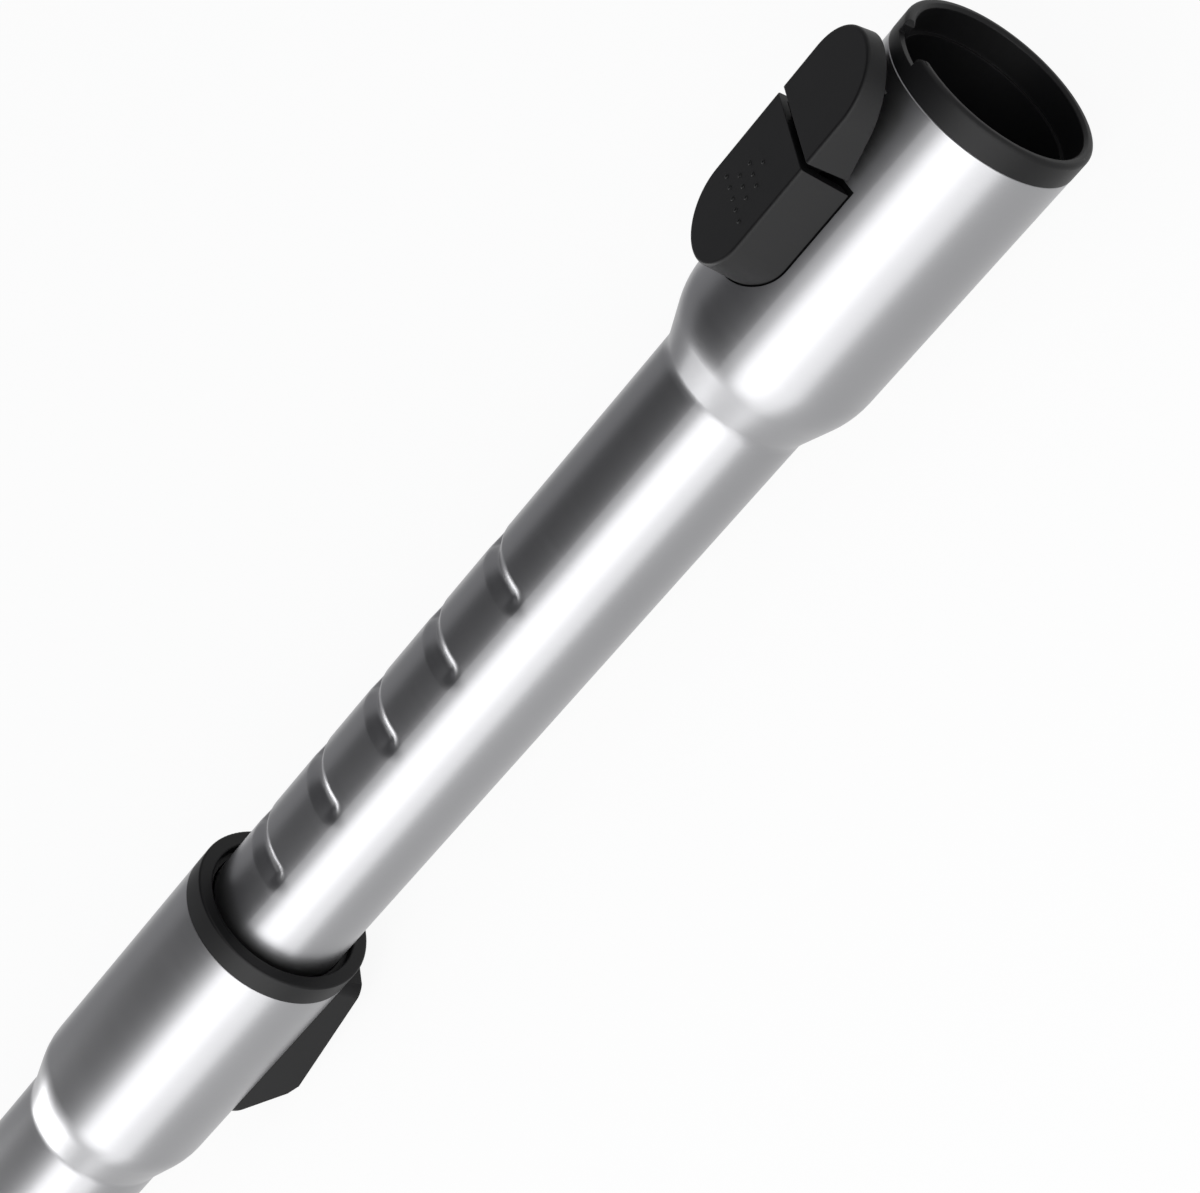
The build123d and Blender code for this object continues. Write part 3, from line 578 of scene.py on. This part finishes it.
def with_rings(outline, places):
    """Outline with extra points at given places along its straight runs."""
    full = []
    for p, q in zip(outline, outline[1:] + outline[:1]):
        full.append(p)
        inside = [x for x in places if min(p.x, q.x) + RING_MARGIN < x < max(p.x, q.x) - RING_MARGIN]
        for x in sorted(inside, reverse=q.x < p.x):
            full.append(p.lerp(q, (x - p.x) / (q.x - p.x)))
    return full


def modifier_input(modifier, name, value):
    """Sets a node tree's named input on its modifier."""
    items = modifier.node_group.interface.items_tree
    socket = next(i for i in items if i.in_out == "INPUT" and i.name == name)
    modifier[socket.identifier] = value


rings = [FIRST_DENT - k * DENT_PITCH + RING_STEP * j
         for k in range(DENT_COUNT) for j in range(-RINGS_EACH_SIDE, RINGS_EACH_SIDE + 1)]
fine = [DENT_SECTOR * (2 * k / SECTOR_COLUMNS - 1) for k in range(SECTOR_COLUMNS)]
coarse = [DENT_SECTOR + 2 * (math.pi - DENT_SECTOR) * k / SECTOR_COLUMNS for k in range(SECTOR_COLUMNS)]
inner_outline = tube_outline(HEAD_EDGE, INNER_END, INNER_HEAD, INNER_NECK, INNER_HEAD_R, INNER_R)
inner = turned(with_rings(inner_outline, rings), fine + coarse)
blank = as_object(inner, "inner_tube_blank")
press = blank.modifiers.new("press_dents", "NODES")
press.node_group = dents
for name, value in (("First Dent", FIRST_DENT), ("Pitch", DENT_PITCH), ("Count", DENT_COUNT),
                    ("Half Angle", DENT_HALF_ANGLE), ("Tube Radius", INNER_R), ("Depth", DENT_DEPTH),
                    ("Wall Slope", DENT_SLOPE), ("Nose", DENT_NOSE), ("Brim", DENT_BRIM),
                    ("Material", brushed_steel)):
    modifier_input(press, name, value)
inner = plain(blank)

POD_HALF = 12.0
POD_BEND = 0.99 * POD_HALF   # all but a half circle
POD_LOW = HEAD_EDGE - 51.8
WINDOW_TOP = HEAD_EDGE - 20.05
HOOK_SLOT = (HEAD_EDGE - 8.3, HEAD_EDGE - 3.7)
HOOK_HALF = 4.8
pod_window = prism(rounded([
    (POD_LOW, -POD_HALF, POD_BEND), (POD_LOW, POD_HALF, POD_BEND),
    (WINDOW_TOP, POD_HALF, 0), (WINDOW_TOP, -POD_HALF, 0)]), CUT_FROM, 2 * INNER_HEAD_R)
hook_slot = prism(rounded([
    (HOOK_SLOT[0], -HOOK_HALF, 0), (HOOK_SLOT[0], HOOK_HALF, 0),
    (HOOK_SLOT[1], HOOK_HALF, 0), (HOOK_SLOT[1], -HOOK_HALF, 0)]), CUT_FROM, 2 * INNER_HEAD_R)
inner = carve(inner, pod_window)
inner = carve(inner, hook_slot)
inner.transform(LAY_DOWN)
finish_piece(inner, "inner_tube_steel", "inner_tube", "inner", brushed_steel)

# %% [markdown]
# ## Moulded pieces
# The CAD solids of the moulded pieces already have their real shape, down to the hook and the pivot ears.
# Their meshes are loose triangles with hard facets, so each is copied, its corners are welded and flat
# neighbours are joined. A Bevel modifier then gives the edges of the socket and the latch the small round
# that every mould leaves and that catches the light. The collar and the lever do without: a bevel strays at
# the thin triangles round the collar's windows, and the rocking lever would rub on the guide inside.

# %% Moulded pieces from their solids
WELD = 0.002 * MM
FLAT = math.radians(0.8)
MOULD_EDGE = 0.15 * MM
HARD_EDGE = math.radians(40)


def welded(node):
    """Copy of a CAD piece with its corners welded and its flat facets joined."""
    shape = bmesh.new()
    shape.from_mesh(nodes[node].data)
    bmesh.ops.remove_doubles(shape, verts=shape.verts, dist=WELD)
    bmesh.ops.dissolve_limit(shape, angle_limit=FLAT, verts=shape.verts, edges=shape.edges)
    mesh = bpy.data.meshes.new(node)
    shape.to_mesh(mesh)
    shape.free()
    return mesh


def softened(mesh):
    """Mesh with a small round on its hard edges."""
    made = as_object(mesh, "blank")
    bevel = made.modifiers.new("mould_edges", "BEVEL")
    bevel.width = MOULD_EDGE
    bevel.segments = 2
    bevel.limit_method = "ANGLE"
    bevel.angle_limit = HARD_EDGE
    bevel.use_clamp_overlap = False
    return plain(made)


for node, body in (("guide_collar", "outer"), ("release_lever", "lever")):
    finish_piece(welded(node), node + "_moulded", node, body, black_abs)
for node, body in (("socket_liner", "inner"), ("latch_cover", "inner"), ("latch_button", "button")):
    finish_piece(softened(welded(node)), node + "_moulded", node, body, black_abs)

# %% [markdown]
# ## Grip dots
# The button has a triangle of small nubs under the thumb. A grid of points with the corners taken off is
# that triangle, so Geometry Nodes make it: each point that stays gets one small dome.

# %% Grip dots on the button
DOT_PITCH = 3.1
DOT_ROWS = 4
DOT_COLUMNS = 5
DOT_WIDTH = 0.9
DOT_HEIGHT = 0.25
DOT_TAPER = 0.5     # columns that each row loses at each side
DOT_SLACK = 0.1     # keeps a dot that lies just on the triangle's edge
FIRST_ROW = HEAD_EDGE - 38.0
BUTTON_TOP = 27.3

grip = bpy.data.node_groups.new("grip_dots", "GeometryNodeTree")
for name, kind in (("Pitch", "NodeSocketFloat"), ("Rows", "NodeSocketInt"), ("Columns", "NodeSocketInt"),
                   ("Dot Width", "NodeSocketFloat"), ("Dot Height", "NodeSocketFloat"),
                   ("Place", "NodeSocketVector"), ("Material", "NodeSocketMaterial")):
    grip.interface.new_socket(name, in_out="INPUT", socket_type=kind)
grip.interface.new_socket("Geometry", in_out="OUTPUT", socket_type="NodeSocketGeometry")
given = add(grip, "NodeGroupInput").outputs
row_gaps = add(grip, "ShaderNodeMath", {0: given["Rows"], 1: 1.0}, operation="SUBTRACT")
column_gaps = add(grip, "ShaderNodeMath", {0: given["Columns"], 1: 1.0}, operation="SUBTRACT")
length = add(grip, "ShaderNodeMath", {0: given["Pitch"], 1: row_gaps}, operation="MULTIPLY")
breadth = add(grip, "ShaderNodeMath", {0: given["Pitch"], 1: column_gaps}, operation="MULTIPLY")
grid = add(grip, "GeometryNodeMeshGrid", {"Size X": length, "Size Y": breadth, "Vertices X": given["Rows"],
           "Vertices Y": given["Columns"]})
spot = add(grip, "ShaderNodeSeparateXYZ", {0: add(grip, "GeometryNodeInputPosition")}).outputs
row = add(grip, "ShaderNodeMath", {0: spot["X"], 1: given["Pitch"]}, operation="DIVIDE")
middle_row = add(grip, "ShaderNodeMath", {0: row_gaps, 1: 0.5}, operation="MULTIPLY")
row = add(grip, "ShaderNodeMath", {0: row, 1: middle_row}, operation="ADD")
reach = add(grip, "ShaderNodeMath", {0: given["Rows"], 1: row}, operation="SUBTRACT")
reach = add(grip, "ShaderNodeMath", {0: reach, 1: DOT_TAPER, 2: DOT_SLACK}, operation="MULTIPLY_ADD")
column = add(grip, "ShaderNodeMath", {0: spot["Y"]}, operation="ABSOLUTE")
column = add(grip, "ShaderNodeMath", {0: column, 1: given["Pitch"]}, operation="DIVIDE")
corner = add(grip, "ShaderNodeMath", {0: column, 1: reach}, operation="GREATER_THAN")
kept = add(grip, "GeometryNodeDeleteGeometry", {"Geometry": grid, "Selection": corner}, domain="POINT")
dome = add(grip, "GeometryNodeMeshUVSphere", {"Segments": 16, "Rings": 8, "Radius": 0.5})
thick = add(grip, "ShaderNodeMath", {0: given["Dot Height"], 1: 2.0}, operation="MULTIPLY")
size = add(grip, "ShaderNodeCombineXYZ", {"X": given["Dot Width"], "Y": given["Dot Width"], "Z": thick})
dots = add(grip, "GeometryNodeInstanceOnPoints", {"Points": kept, "Instance": dome, "Scale": size})
dots = add(grip, "GeometryNodeTransform", {"Geometry": dots, "Translation": given["Place"]})
dots = add(grip, "GeometryNodeRealizeInstances", {"Geometry": dots})
dots = add(grip, "GeometryNodeSetMaterial", {"Geometry": dots, "Material": given["Material"]})
add(grip, "NodeGroupOutput", {"Geometry": dots})

blank = as_object(bpy.data.meshes.new("grip_dots"), "grip_dots_blank")
grow = blank.modifiers.new("grip_dots", "NODES")
grow.node_group = grip
for name, value in (("Pitch", DOT_PITCH), ("Rows", DOT_ROWS), ("Columns", DOT_COLUMNS),
                    ("Dot Width", DOT_WIDTH), ("Dot Height", DOT_HEIGHT), ("Material", black_abs),
                    ("Place", (FIRST_ROW + DOT_PITCH * (DOT_ROWS - 1) / 2, 0.0, BUTTON_TOP))):
    modifier_input(grow, name, value)
dot_mesh = plain(blank)
dot_mesh.transform(LAY_DOWN)
finish_piece(dot_mesh, "grip_dots", None, "button", black_abs)

# %% [markdown]
# ## Coil springs
# Two coil springs stand between a piece that stays and one that moves: one under the button, one under the
# lever. As stiff shapes they would stick into the piece that comes down on them. Each is a welded copy of its
# CAD coil in spring steel, shaded smooth; its foot and its top are found, but it rides on neither body.

# %% Coil springs
COILS = (  # piece, body under its foot, body at its top, whether the foot is its lower end
    ("latch_spring", "inner", "button", True),
    ("lever_spring", "outer", "lever", False),
)
for node, fixed, moving, foot_is_low in COILS:
    mesh = welded(node)
    mesh.materials.clear()
    mesh.materials.append(spring_steel)
    mesh.shade_smooth()
    coil = as_object(mesh, node + "_coil")
    low, high = (Vector(corner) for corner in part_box(node))
    middle = (low + high) / 2
    foot, top = Vector((middle.x, middle.y, low.z)), Vector((middle.x, middle.y, high.z))
    if not foot_is_low:
        foot, top = top, foot
    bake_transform(coil)
    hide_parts(node)
    print(coil.name, "faces:", len(mesh.polygons))

# %% [markdown]
# ## Pieces that stay as they are
# The wiper, guides, lock, leaf spring, pins and seal keep their CAD shape and only get their finish.

# %% Finish of the pieces inside
INSIDE = {
    black_rubber: ("dust_wiper", "end_seal"),
    grey_acetal: ("lower_guide", "end_guide"),
    spring_steel: ("lock_spring", "lever_pin", "latch_pin"),
    zinc_plate: ("lock_ring",),
}
for material, names in INSIDE.items():
    for name in names:
        nodes[name].data.materials.clear()
        nodes[name].data.materials.append(material)
print("finished inside:", sum(len(names) for names in INSIDE.values()))
